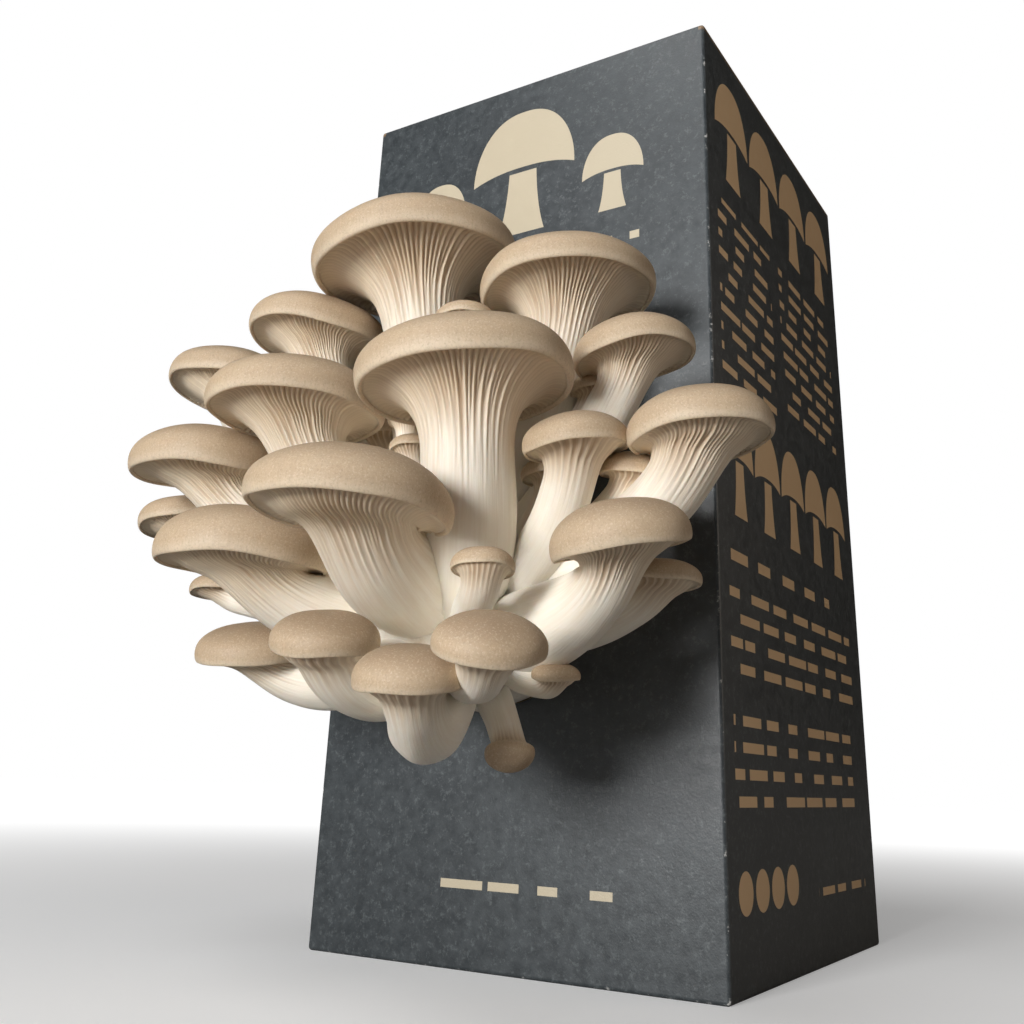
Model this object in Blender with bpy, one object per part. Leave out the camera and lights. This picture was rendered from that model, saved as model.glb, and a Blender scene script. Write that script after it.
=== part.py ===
"""Oyster mushroom grow kit: a tall printed carton with a cluster of oyster mushrooms
growing out of a window in its front.

Runs in Blender 4.5. Units are metres and +Z is up. The origin is the centre of the
carton's underside, and the front of the carton, with the window, faces -Y.
"""

import math
from typing import NamedTuple

import bmesh
import bpy
from mathutils import Matrix, Vector
from mathutils.bvhtree import BVHTree

MM = 0.001
GAP = 0.3 * MM

# Carton
CARTON_WIDTH = 117 * MM
CARTON_DEPTH = 124 * MM
CARTON_HEIGHT = 250 * MM
BOARD = 1.5 * MM
FOLD_RADIUS = 1.0 * MM
SEAM_WIDTH = 0.5 * MM
SEAM_DEPTH = 0.7 * MM
FRONT_Y = -CARTON_DEPTH / 2

# Window in the front panel
WINDOW_WIDTH = 40 * MM
WINDOW_HEIGHT = 40 * MM
WINDOW_CORNER = 15 * MM
WINDOW_Z = 79 * MM

# Bag of film and the block in it
FILM = 0.5 * MM
BAG_CLEARANCE = 1.0 * MM
BAG_CORNER = 6 * MM
BLOCK_HEIGHT = 205 * MM
BAG_FOLD_SIZE = (84 * MM, 60 * MM, 5 * MM)

# Foot of the cluster: radius at each distance in front of the carton's front face
FOOT_PROFILE = (
    (-3.3, 14.5),
    (0.0, 15.5),
    (10.0, 18.0),
    (22.0, 20.0),
    (34.0, 19.5),
    (44.0, 15.0),
    (50.0, 8.0),
)
FOOT_SIDES = 20
HEART = Vector((0.0, FRONT_Y - 24 * MM, WINDOW_Z))

# Shape of every cap, as shares of its radius
CAP_SEAT = (0.89, 0.08)
CAP_LIP = ((0.90, 0.01), (0.95, -0.01))
CAP_WIDEST = 0.12
STEM_TOP_RADIUS = 0.88
SEAT_GAP = 1.5 * GAP
FLARE_LENGTH = 0.20
RIB_HEIGHT = 0.035

# Caps over these radii, in millimetres, get more faces, and gills
LARGE = 18
MEDIUM = 12

# Corners this near each other and faces this near to flat are made one after a cut
MERGE = 0.05 * MM
FLAT = math.radians(2.5)


class Mushroom(NamedTuple):
    """One mushroom of the cluster; lengths in millimetres, angles in degrees."""

    name: str
    x: float
    y: float
    z: float
    radius: float
    dome: float
    lean: float
    heading: float
    neck: float
    belly: float
    drop: float
    slant: float
    sag: float


# Place of the rim's centre, radius of the cap, height of its dome over the rim as a share
# of the radius, lean of its axis from upright, the way it leans (0 is +X, 90 is +Y), the
# stalk's radius at its neck and at its thickest, as shares of the cap's radius, how far the
# stem runs before it turns in, as such a share too, how much it heads for the cluster's
# heart from the start, and how far it hangs as it turns in.
MUSHROOMS = (
    Mushroom("01", -12, -96, 171, 28.0, 0.52, 7, 200, 0.33, 0.36, 1.0, 0.25, 0),
    Mushroom("02", 33, -92, 156, 22.0, 0.53, 6, 190, 0.36, 0.38, 1.0, 0.30, 0),
    Mushroom("03", 25, -122, 123, 23.5, 0.58, 6, 180, 0.38, 0.44, 1.4, 0.08, 0),
    Mushroom("04", 53, -96, 134, 14.0, 0.66, 9, 195, 0.38, 0.42, 1.0, 0.60, 0),
    Mushroom("05", 72, -104, 110, 15.5, 0.68, 5, 200, 0.44, 0.48, 1.2, 0.45, 2),
    Mushroom("06", -46, -95, 157, 19.5, 0.61, 7, 50, 0.33, 0.36, 0.9, 0.50, 0),
    Mushroom("07", -88, -85, 152, 20.0, 0.62, 10, 65, 0.34, 0.38, 0.8, 0.50, 2),
    Mushroom("08", -27, -120, 125, 22.0, 0.58, 2, 70, 0.36, 0.40, 0.8, 0.40, 0),
    Mushroom("09", -63, -111, 116, 21.5, 0.60, 3, 320, 0.34, 0.38, 0.8, 0.50, 2),
    Mushroom("10", -90, -94, 109, 13.0, 0.63, 10, 175, 0.38, 0.42, 0.7, 0.50, 3),
    Mushroom("11", 12, -142, 92, 21.0, 0.61, 5, 35, 0.44, 0.55, 0.9, 0.80, -2),
    Mushroom("12", -30, -128, 87, 20.0, 0.67, 2, 15, 0.38, 0.44, 0.8, 0.60, 0),
    Mushroom("13", -68, -98, 88, 8.5, 0.58, 5, 155, 0.42, 0.46, 0.7, 0.50, 0),
    Mushroom("14", -43, -108, 69, 13.5, 0.68, 12, 290, 0.36, 0.48, 0.6, 0.50, 10),
    Mushroom("15", 4, -136, 67, 11.0, 0.67, 17, 300, 0.60, 0.74, 0.7, 0.40, 13),
    Mushroom("16", 29, -140, 59, 10.7, 0.69, 14, 295, 0.52, 0.80, 0.9, 0.42, 18),
    Mushroom("17", 47, -142, 64, 10.2, 0.68, 22, 312, 0.48, 0.50, 0.9, 0.40, 8),
    Mushroom("18", 37, -130, 81, 6.2, 0.63, 8, 120, 0.52, 0.56, 1.0, 0.10, 0),
    Mushroom("19", 47, -112, 109, 11.5, 0.68, 8, 240, 0.46, 0.52, 1.7, 0.35, 0),
    Mushroom("20", 62, -120, 85, 14.0, 0.71, 13, 247, 0.38, 0.66, 1.1, 0.45, 4),
    Mushroom("21", 60, -100, 82, 9.0, 0.56, 1, 30, 0.50, 0.64, 0.8, 0.40, 5),
    Mushroom("22", 40, -106, 63, 5.0, 0.64, 12, 296, 0.56, 0.62, 0.9, 0.30, 2),
    Mushroom("23", 34, -98, 108, 8.0, 0.62, 6, 200, 0.44, 0.48, 1.2, 0.40, 0),
    Mushroom("24", 3, -112, 115, 5.0, 0.66, 8, 200, 0.56, 0.60, 1.2, 0.30, 0),
    Mushroom("25", -2, -108, 123, 4.5, 0.60, 12, 90, 0.56, 0.60, 1.2, 0.30, 0),
    Mushroom("26", 27, -102, 49, 5.2, 0.66, 125, 305, 0.60, 0.70, 0.9, 0.10, 0),
    Mushroom("27", 11, -104, 148, 8.0, 0.58, 6, 120, 0.40, 0.44, 1.2, 0.30, 0),
)


def clear_scene():
    """Empties the file of its objects."""
    for thing in list(bpy.data.objects):
        bpy.data.objects.remove(thing, do_unlink=True)


def finish(name, colour, roughness):
    """A Principled material of one colour."""
    material = bpy.data.materials.new(name)
    material.use_nodes = True
    shader = material.node_tree.nodes["Principled BSDF"]
    shader.inputs["Base Color"].default_value = (*colour, 1.0)
    shader.inputs["Roughness"].default_value = roughness
    shader.inputs["Metallic"].default_value = 0.0
    material.diffuse_color = (*colour, 1.0)
    return material


def add_object(name, mesh_data, material=None):
    """Puts a bmesh in the scene as a named object."""
    mesh = bpy.data.meshes.new(name)
    mesh_data.to_mesh(mesh)
    mesh_data.free()
    made = bpy.data.objects.new(name, mesh)
    bpy.context.scene.collection.objects.link(made)
    if material:
        mesh.materials.append(material)
    return made


def hide_cutter(cutter):
    """Marks an object as a cutting tool and not a piece of the part."""
    cutter.hide_render = True
    cutter.display_type = "WIRE"


def smooth(piece, angle=50):
    """Shades a piece smooth, apart from folds sharper than the angle."""
    piece.data.shade_smooth()
    piece.data.set_sharp_from_angle(angle=math.radians(angle))


def boolean(piece, cutter, operation="DIFFERENCE", use_self=False):
    """Adds a Boolean modifier with the exact solver."""
    modifier = piece.modifiers.new(cutter.name, "BOOLEAN")
    modifier.operation = operation
    modifier.object = cutter
    modifier.solver = "EXACT"
    modifier.use_self = use_self


def box_mesh(sizes, centre, bevel=0.0, segments=1):
    """A box, with its edges rounded if bevel is over 0."""
    mesh_data = bmesh.new()
    place = Matrix.Translation(centre) @ Matrix.Diagonal((*sizes, 1.0))
    bmesh.ops.create_cube(mesh_data, size=1.0, matrix=place)
    if bevel:
        bmesh.ops.bevel(
            mesh_data,
            geom=list(mesh_data.edges),
            offset=bevel,
            segments=segments,
            affect="EDGES",
            profile=0.5,
        )
    return mesh_data


def add_ring(mesh_data, points):
    """Adds one closed ring of vertices."""
    return [mesh_data.verts.new(point) for point in points]


def bridge(mesh_data, first, second):
    """Joins two rings with faces; the second has as many vertices as the first, or half."""
    count = len(second)
    for i in range(count):
        j = (i + 1) % count
        if len(first) == count:
            mesh_data.faces.new((first[i], first[j], second[j], second[i]))
            continue
        left, middle, right = first[2 * i], first[2 * i + 1], first[2 * j]
        mesh_data.faces.new((left, middle, second[i]))
        mesh_data.faces.new((middle, right, second[j]))
        mesh_data.faces.new((middle, second[j], second[i]))


def close_fan(mesh_data, ring, tip, turned):
    """Closes a ring with triangles to one point."""
    centre = mesh_data.verts.new(tip)
    count = len(ring)
    for i in range(count):
        j = (i + 1) % count
        corners = (ring[j], ring[i], centre) if turned else (ring[i], ring[j], centre)
        mesh_data.faces.new(corners)


def loft(rings, first_tip, last_tip):
    """A closed solid through a list of rings, with a fan at each end."""
    mesh_data = bmesh.new()
    made = [add_ring(mesh_data, ring) for ring in rings]
    for first, second in zip(made, made[1:]):
        bridge(mesh_data, first, second)
    close_fan(mesh_data, made[0], first_tip, True)
    close_fan(mesh_data, made[-1], last_tip, False)
    bmesh.ops.recalc_face_normals(mesh_data, faces=list(mesh_data.faces))
    bmesh.ops.triangulate(mesh_data, faces=list(mesh_data.faces))
    return mesh_data


def rounded_outline(width, height, corner, steps):
    """Points of a rectangle with round corners, about its centre."""
    points = []
    quarters = ((1, 1, 0), (-1, 1, 90), (-1, -1, 180), (1, -1, 270))
    for side_x, side_z, start in quarters:
        for step in range(steps + 1):
            angle = math.radians(start + 90 * step / steps)
            x = side_x * (width / 2 - corner) + corner * math.cos(angle)
            z = side_z * (height / 2 - corner) + corner * math.sin(angle)
            points.append((x, z))
    return points


def prism_through_front(name, width, height, corner, y_from, y_to):
    """A cutter with the outline of the window, running along Y."""
    outline = rounded_outline(width, height, corner, 4)
    rings = [[Vector((x, y, z + WINDOW_Z)) for x, z in outline] for y in (y_from, y_to)]
    tips = [Vector((0, y, WINDOW_Z)) for y in (y_from, y_to)]
    cutter = add_object(name, loft(rings, *tips))
    hide_cutter(cutter)
    return cutter


def seam_boxes():
    """Centre and size of the slits round the lid and the bottom flap."""
    slits = []
    for level in (BOARD, CARTON_HEIGHT - BOARD):
        for side in (-1, 1):
            centre = (side * CARTON_WIDTH / 2, 0, level)
            size = (2 * SEAM_DEPTH, CARTON_DEPTH - 4 * BOARD, SEAM_WIDTH)
            slits.append((centre, size))
    for level in (0, CARTON_HEIGHT):
        centre = (0, CARTON_DEPTH / 2 - BOARD - SEAM_WIDTH, level)
        size = (CARTON_WIDTH - 4 * BOARD, SEAM_WIDTH, 2 * SEAM_DEPTH)
        slits.append((centre, size))
    return slits


def build_carton(material):
    """The folded carton: hollow, closed at both ends, with the window in its front."""
    outer = (CARTON_WIDTH, CARTON_DEPTH, CARTON_HEIGHT)
    middle = Vector((0, 0, CARTON_HEIGHT / 2))
    carton = add_object("carton", box_mesh(outer, middle, FOLD_RADIUS, 2), material)
    inner = [size - 2 * BOARD for size in outer]
    hollow = add_object("cutter_hollow", box_mesh(inner, middle))
    hide_cutter(hollow)
    boolean(carton, hollow)
    window = prism_through_front(
        "cutter_window",
        WINDOW_WIDTH,
        WINDOW_HEIGHT,
        WINDOW_CORNER,
        FRONT_Y - 5 * MM,
        FRONT_Y + 5 * MM,
    )
    boolean(carton, window)
    for index, (centre, size) in enumerate(seam_boxes()):
        slit = add_object(f"cutter_slit_{index}", box_mesh(size, Vector(centre)))
        hide_cutter(slit)
        boolean(carton, slit)
    return carton


def bag_size():
    """Outer width and depth of the bag."""
    margin = 2 * (BOARD + BAG_CLEARANCE)
    return CARTON_WIDTH - margin, CARTON_DEPTH - margin


def build_bag(material):
    """The film bag, folded shut on top and cut open at the window."""
    width, depth = bag_size()
    bottom = BOARD + GAP
    height = BLOCK_HEIGHT + 2 * (FILM + GAP)
    middle = Vector((0, 0, bottom + height / 2))
    bag = add_object("grow_bag", box_mesh((width, depth, height), middle, BAG_CORNER, 2), material)
    fold_z = bottom + height + BAG_FOLD_SIZE[2] / 2 - FILM / 2
    fold = add_object("cutter_bag_fold", box_mesh(BAG_FOLD_SIZE, Vector((0, 0, fold_z)), MM, 1))
    hide_cutter(fold)
    boolean(bag, fold, "UNION")
    inner = (width - 2 * FILM, depth - 2 * FILM, height - 2 * FILM)
    hollow = add_object("cutter_bag_hollow", box_mesh(inner, middle, BAG_CORNER - FILM, 2))
    hide_cutter(hollow)
    boolean(bag, hollow)
    slit = prism_through_front(
        "cutter_bag_slit",
        WINDOW_WIDTH - 4 * MM,
        WINDOW_HEIGHT - 4 * MM,
        WINDOW_CORNER - 2 * MM,
        FRONT_Y - 5 * MM,
        FRONT_Y + 6 * MM,
    )
    boolean(bag, slit)
    return bag


def build_block(material):
    """The block of spawned substrate that fills the bag."""
    width, depth = bag_size()
    wall = 2 * (FILM + GAP)
    size = (width - wall, depth - wall, BLOCK_HEIGHT)
    middle = Vector((0, 0, BOARD + 2 * GAP + FILM + BLOCK_HEIGHT / 2))
    corner = BAG_CORNER - FILM - GAP
    return add_object("substrate_block", box_mesh(size, middle, corner, 2), material)


def foot_ring(distance, radius):
    """One ring of the cluster's foot, with soft lumps."""
    points = []
    for side in range(FOOT_SIDES):
        angle = 2 * math.pi * side / FOOT_SIDES
        lump = 0.05 * math.sin(3 * angle + 0.11 * distance) + 0.04 * math.sin(5 * angle - 0.2 * distance)
        reach = radius * (1 + lump * min(1.0, max(0.0, distance / 10))) * MM
        x = reach * math.cos(angle)
        z = WINDOW_Z + reach * math.sin(angle)
        points.append(Vector((x, FRONT_Y - distance * MM, z)))
    return points


def build_foot(material):
    """The fused foot of the cluster, from the block out through the window."""
    rings = [foot_ring(distance, radius) for distance, radius in FOOT_PROFILE]
    first = Vector((0, FRONT_Y - FOOT_PROFILE[0][0] * MM, WINDOW_Z))
    last = Vector((0, FRONT_Y - (FOOT_PROFILE[-1][0] + 2) * MM, WINDOW_Z))
    return add_object("cluster_base", loft(rings, first, last), material)


def cap_axis(mushroom):
    """Unit vector along a cap's axis, towards its top."""
    lean = math.radians(mushroom.lean)
    heading = math.radians(mushroom.heading)
    across = math.sin(lean)
    return Vector((across * math.cos(heading), across * math.sin(heading), math.cos(lean)))


def cap_frame(mushroom):
    """The cap's axis and two directions square to it."""
    axis = cap_axis(mushroom)
    side = axis.cross(Vector((0, 1, 0))).normalized()
    return side, axis.cross(side), axis


def cap_centre(mushroom):
    """Centre of the rim, in metres."""
    return Vector((mushroom.x, mushroom.y, mushroom.z)) * MM


def segments_of(mushroom):
    """Segments round a cap and round its stalk, by size."""
    if mushroom.radius > LARGE:
        return 16, 10
    if mushroom.radius > MEDIUM:
        return 12, 8
    return 9, 7


def wobble(mushroom, angle):
    """How far a cap is from round at an angle."""
    seed = 1.7 * int(mushroom.name)
    return 1 + 0.02 * math.cos(2 * angle + seed) + 0.012 * math.cos(3 * angle + 2 * seed)


def cap_profile(mushroom):
    """Radius and height of each ring of a cap, from its seat round the lip to the top."""
    rise = mushroom.dome - CAP_WIDEST
    steps = 3 if mushroom.radius > MEDIUM else 2
    dome = []
    for step in range(steps):
        angle = math.pi / 2 * step / steps
        dome.append((math.cos(angle), CAP_WIDEST + rise * math.sin(angle)))
    return [CAP_SEAT, *CAP_LIP, *dome]


def build_cap(mushroom, material):
    """A domed cap with a rolled rim and a flat seat for its stem beneath."""
    side, other, axis = cap_frame(mushroom)
    centre = cap_centre(mushroom)
    radius = mushroom.radius * MM
    count = segments_of(mushroom)[0]
    rings = []
    for share, height in cap_profile(mushroom):
        ring = []
        for step in range(count):
            angle = 2 * math.pi * step / count
            reach = radius * share * wobble(mushroom, angle)
            flat = side * math.cos(angle) + other * math.sin(angle)
            ring.append(centre + flat * reach + axis * (radius * height))
        rings.append(ring)
    seat = centre + axis * (radius * CAP_SEAT[1])
    top = centre + axis * (radius * mushroom.dome)
    return add_object(f"cap_{mushroom.name}", loft(rings, seat, top), material)


def bezier(points, t):
    """Point of a cubic curve."""
    a, b, c, d = points
    u = 1 - t
    return a * u**3 + b * (3 * u * u * t) + c * (3 * u * t * t) + d * t**3


def stem_curve(mushroom):
    """Control points of a stem's centre line, from under the cap to the cluster's heart."""
    axis = cap_axis(mushroom)
    radius = mushroom.radius * MM
    top = cap_centre(mushroom) + axis * (CAP_SEAT[1] * radius - SEAT_GAP)
    inward = (HEART - top).normalized()
    start = (-axis).lerp(inward, mushroom.slant).normalized()
    below = top + start * ((mushroom.drop + 0.3) * radius)
    out = (below - HEART).normalized()
    foot = HEART + out * (12 * MM)
    turn = foot + out * (0.4 * (below - HEART).length) - Vector((0, 0, mushroom.sag * MM))
    return top, top + start * (mushroom.drop * radius), turn, foot


def stem_radius(mushroom, distance, length):
    """Radius of a stem at a distance below its top."""
    radius = mushroom.radius * MM
    neck = mushroom.neck * radius
    widening = STEM_TOP_RADIUS * radius - SEAT_GAP - neck
    flare = widening * math.exp(-distance / (FLARE_LENGTH * radius))
    along = min(1.0, distance / length)
    swell = (mushroom.belly - mushroom.neck) * radius * math.sin(math.pi * min(1.0, along * 0.8)) ** 2
    return neck + flare + swell


def stem_stations(mushroom, length):
    """Distances below the top at which a stem has its rings, and how many are gilled."""
    radius = mushroom.radius * MM
    near = [0.0, 0.10, 0.30, 0.70] if mushroom.radius > MEDIUM else [0.0, 0.12, 0.45]
    stations = [share * radius for share in near]
    left = length - stations[-1]
    steps = max(2, round(left / max(radius, 12 * MM)))
    stations += [stations[-1] + left * (step + 1) / steps for step in range(steps)]
    return stations, len(near) if mushroom.radius > MEDIUM else 0


def walk(points, stations):
    """Places and directions on a curve at given distances from its start."""
    count = 200
    line = [bezier(points, step / count) for step in range(count + 1)]
    lengths = [0.0]
    for a, b in zip(line, line[1:]):
        lengths.append(lengths[-1] + (b - a).length)
    places = []
    for station in stations:
        step = min(range(count), key=lambda i: abs(lengths[i] - station))
        direction = (line[step + 1] - line[step]).normalized()
        places.append((line[step], direction))
    return places, lengths[-1]


def build_stem(mushroom, material):
    """A trumpet of gills that runs down into a curved stalk."""
    curve = stem_curve(mushroom)
    length = walk(curve, [0.0])[1]
    stations, gilled = stem_stations(mushroom, length)
    places = walk(curve, stations)[0]
    stalk_count = segments_of(mushroom)[1]
    side, other, axis = cap_frame(mushroom)
    radius = mushroom.radius * MM
    before = -axis
    rings = []
    for index, (station, (place, heading)) in enumerate(zip(stations, places)):
        tilt = min(1.0, max(0.0, (station / radius - 0.1) / 0.9))
        direction = (-axis).lerp(heading, tilt).normalized()
        turn = before.rotation_difference(direction)
        side.rotate(turn)
        other.rotate(turn)
        before = direction
        reach = stem_radius(mushroom, station, length)
        fade = max(0.0, 1 - station / radius)
        ribs = RIB_HEIGHT * radius * fade if index else 0.0
        count = stalk_count * (2 if index < gilled else 1)
        ring = []
        for step in range(count):
            angle = 2 * math.pi * step / count
            flat = side * math.cos(angle) + other * math.sin(angle)
            rib = ribs if step % 2 else -ribs
            round_off = 1 + (wobble(mushroom, angle) - 1) * fade
            ring.append(place + flat * (reach * round_off + 0.5 * rib) + direction * rib)
        rings.append(ring)
    solid = loft(rings, places[0][0], places[-1][0])
    return add_object(f"stem_{mushroom.name}", solid, material)


def grown_copy(piece):
    """A cutter that stands out from a piece by the gap."""
    mesh = piece.data.copy()
    normals = [corner.normal.copy() for corner in mesh.vertices]
    for corner, normal in zip(mesh.vertices, normals):
        corner.co += normal * (1.3 * GAP)
    cutter = bpy.data.objects.new(f"cutter_{piece.name}", mesh)
    bpy.context.scene.collection.objects.link(cutter)
    hide_cutter(cutter)
    return cutter


def tree_of(piece):
    """The surface of a piece, ready to be tested against another."""
    corners = [corner.co for corner in piece.data.vertices]
    return BVHTree.FromPolygons(corners, [face.vertices for face in piece.data.polygons])


def keep_largest_body(mesh):
    """Deletes what a cut has split off."""
    mesh_data = bmesh.new()
    mesh_data.from_mesh(mesh)
    left = set(mesh_data.faces)
    bodies = []
    while left:
        found = [left.pop()]
        for face in found:
            folds = [edge.link_faces for edge in face.edges if len(edge.link_faces) == 2]
            near = {other for pair in folds for other in pair} & left
            left -= near
            found += near
        bodies.append(found)
    bodies.sort(key=lambda faces: sum(face.calc_area() for face in faces))
    for faces in bodies[:-1]:
        bmesh.ops.delete(mesh_data, geom=faces, context="FACES")
    bmesh.ops.remove_doubles(mesh_data, verts=list(mesh_data.verts), dist=MERGE)
    bmesh.ops.dissolve_limit(
        mesh_data,
        angle_limit=FLAT,
        verts=list(mesh_data.verts),
        edges=list(mesh_data.edges),
    )
    mesh_data.to_mesh(mesh)
    mesh_data.free()


def trim(piece, cutters):
    """Cuts a piece back from each neighbour that it meets, so that they only touch."""
    surface = tree_of(piece)
    for cutter in cutters:
        if surface.overlap(tree_of(cutter)):
            boolean(piece, cutter, use_self=True)
    graph = bpy.context.evaluated_depsgraph_get()
    cut = bpy.data.meshes.new_from_object(piece.evaluated_get(graph))
    piece.modifiers.clear()
    piece.data = cut
    keep_largest_body(cut)


def main():
    """Builds the part."""
    clear_scene()
    board = finish("dark printed board", (0.075, 0.090, 0.105), 0.75)
    film = finish("clear film", (0.80, 0.82, 0.82), 0.35)
    block = finish("white mycelium block", (0.78, 0.70, 0.58), 0.95)
    flesh = finish("cream mushroom flesh", (0.84, 0.76, 0.64), 0.60)
    skin = finish("tan mushroom skin", (0.58, 0.44, 0.31), 0.65)
    build_carton(board)
    build_bag(film)
    build_block(block)
    foot = build_foot(flesh)
    caps = [build_cap(mushroom, skin) for mushroom in MUSHROOMS]
    front_first = sorted(MUSHROOMS, key=lambda one: one.y)
    stems = [build_stem(mushroom, flesh) for mushroom in front_first]
    pieces = [foot, *caps, *stems]
    cutters = [grown_copy(piece) for piece in pieces]
    for index, stem in enumerate(stems):
        trim(stem, cutters[: 1 + len(caps) + index])
    for cutter in cutters:
        bpy.data.objects.remove(cutter)
    for piece in pieces:
        smooth(piece)


main()
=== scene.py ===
"""Oyster mushroom grow kit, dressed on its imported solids.

A tall printed carton stands on its flat bottom, and a cluster of oyster mushrooms grows
out of a window in its front, which faces -Y. Lengths are in metres. The rows of the
cluster are in millimetres and degrees, and shapes of a cap or a stem are shares of the
cap's radius.
"""

import logging
import math
from dataclasses import dataclass
from enum import Enum
from typing import Optional, Union

import bpy
import numpy as np
from mathutils import Matrix, Vector


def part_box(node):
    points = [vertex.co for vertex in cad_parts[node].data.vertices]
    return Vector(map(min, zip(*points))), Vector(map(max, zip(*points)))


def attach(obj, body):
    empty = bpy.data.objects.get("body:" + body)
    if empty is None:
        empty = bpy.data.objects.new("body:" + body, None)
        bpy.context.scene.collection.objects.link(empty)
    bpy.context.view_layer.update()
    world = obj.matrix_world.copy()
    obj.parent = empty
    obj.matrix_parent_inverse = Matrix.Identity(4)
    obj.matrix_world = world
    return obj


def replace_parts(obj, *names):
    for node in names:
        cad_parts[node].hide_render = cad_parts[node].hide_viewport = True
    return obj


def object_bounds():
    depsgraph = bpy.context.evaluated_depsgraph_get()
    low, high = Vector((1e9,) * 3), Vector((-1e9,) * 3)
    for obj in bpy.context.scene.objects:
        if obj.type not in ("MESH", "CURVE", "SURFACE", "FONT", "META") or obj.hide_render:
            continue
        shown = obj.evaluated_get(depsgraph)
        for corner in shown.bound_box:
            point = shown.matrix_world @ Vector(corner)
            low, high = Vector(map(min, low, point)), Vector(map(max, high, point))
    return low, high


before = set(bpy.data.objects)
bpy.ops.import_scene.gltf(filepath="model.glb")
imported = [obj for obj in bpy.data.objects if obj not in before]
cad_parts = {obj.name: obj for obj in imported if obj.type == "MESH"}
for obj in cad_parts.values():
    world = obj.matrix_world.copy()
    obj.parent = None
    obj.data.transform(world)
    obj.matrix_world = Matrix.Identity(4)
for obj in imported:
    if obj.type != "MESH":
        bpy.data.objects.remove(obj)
CAD_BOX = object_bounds()

log = logging.getLogger("grow_kit")

MM = 0.001
TURN = 2 * math.pi
Colour = tuple[float, float, float]
Profile = list[tuple[float, float]]
Box = tuple[float, float, float, float]
Socket = bpy.types.NodeSocket
Value = Union[Socket, float, Colour]
RIM = 1.6 * MM


class Slot(Enum):
    """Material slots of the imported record."""

    BOARD = "board"
    FILM = "film"
    BLOCK = "block"
    FLESH = "flesh"
    SKIN = "skin"


# Modelling by operators


def start_piece(name: str) -> bpy.types.Object:
    """Adds a piece that holds one vertex at the origin, in edit mode.

    Args:
        name: Name of the new piece.

    Returns:
        The new object, open in edit mode with its vertex selected.
    """
    bpy.ops.object.select_all(action="DESELECT")
    bpy.ops.mesh.primitive_plane_add(size=MM)
    piece = bpy.context.object
    piece.name = name
    piece.data.name = name
    bpy.ops.object.mode_set(mode="EDIT")
    bpy.ops.mesh.select_mode(type="VERT")
    bpy.ops.mesh.merge(type="CENTER")
    return piece


def lathe(name: str, profile: Profile, steps: int) -> bpy.types.Object:
    """Spins a profile about Z into a closed solid.

    Args:
        name: Name of the new piece.
        profile: Radius and height of each point, in metres, from axis to axis.
        steps: Faces round the solid.

    Returns:
        The new object, in object mode, with its faces outwards.
    """
    piece = start_piece(name)
    radius, height = profile[0]
    bpy.ops.transform.translate(value=(radius, 0, height))
    for last, point in zip(profile, profile[1:]):
        move = (point[0] - last[0], 0, point[1] - last[1])
        bpy.ops.mesh.extrude_vertices_move(TRANSFORM_OT_translate={"value": move})
    bpy.ops.mesh.select_all(action="SELECT")
    bpy.ops.mesh.spin(steps=steps, angle=TURN, center=(0, 0, 0), axis=(0, 0, 1))
    bpy.ops.mesh.select_all(action="SELECT")
    bpy.ops.mesh.remove_doubles(threshold=1e-6)
    bpy.ops.mesh.normals_make_consistent(inside=False)
    bpy.ops.object.mode_set(mode="OBJECT")
    bpy.ops.object.shade_smooth()
    return piece


def points_of(piece: bpy.types.Object) -> np.ndarray:
    """Reads where a piece's vertices are.

    Args:
        piece: The piece to read.

    Returns:
        Their positions, one row each.
    """
    flat = np.empty(len(piece.data.vertices) * 3)
    piece.data.vertices.foreach_get("co", flat)
    return flat.reshape(-1, 3)


def normals_of(piece: bpy.types.Object) -> np.ndarray:
    """Reads which way a piece's surface faces at its vertices.

    Args:
        piece: The piece to read.

    Returns:
        Their normals, one row each.
    """
    flat = np.empty(len(piece.data.vertices) * 3, np.float32)
    piece.data.vertex_normals.foreach_get("vector", flat)
    return flat.reshape(-1, 3)


def move_points(piece: bpy.types.Object, points: np.ndarray) -> None:
    """Puts a piece's vertices at new positions.

    Args:
        piece: The piece to change.
        points: One row for each vertex.
    """
    piece.data.vertices.foreach_set("co", np.ascontiguousarray(points).ravel())
    piece.data.update()


def face_outwards(piece: bpy.types.Object) -> None:
    """Turns a closed piece's faces outwards.

    Args:
        piece: The piece to change.
    """
    bpy.ops.object.select_all(action="DESELECT")
    piece.select_set(True)
    bpy.context.view_layer.objects.active = piece
    bpy.ops.object.mode_set(mode="EDIT")
    bpy.ops.mesh.select_all(action="SELECT")
    bpy.ops.mesh.normals_make_consistent(inside=False)
    bpy.ops.object.mode_set(mode="OBJECT")


def add_attribute(piece: bpy.types.Object, name: str, values: np.ndarray) -> None:
    """Stores a number or a vector for each vertex, for the piece's material to read.

    Args:
        piece: The piece that carries it.
        name: Name of the attribute.
        values: One number or one row of three for each vertex.
    """
    vector = values.ndim == 2
    kind = "FLOAT_VECTOR" if vector else "FLOAT"
    attribute = piece.data.attributes.new(name, kind, "POINT")
    flat = np.ascontiguousarray(values, np.float32).ravel()
    attribute.data.foreach_set("vector" if vector else "value", flat)


def millimetres(*values: float) -> tuple[float, ...]:
    """Values in millimetres as metres."""
    return tuple(value * MM for value in values)


def unit(vector: np.ndarray) -> np.ndarray:
    """A vector, or each row of an array, at length one."""
    return vector / np.linalg.norm(vector, axis=-1, keepdims=True)


def ease(value: np.ndarray, start: float, end: float) -> np.ndarray:
    """Rises smoothly from 0 at start to 1 at end."""
    share = np.clip((value - start) / (end - start), 0, 1)
    return share * share * (3 - 2 * share)


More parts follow.
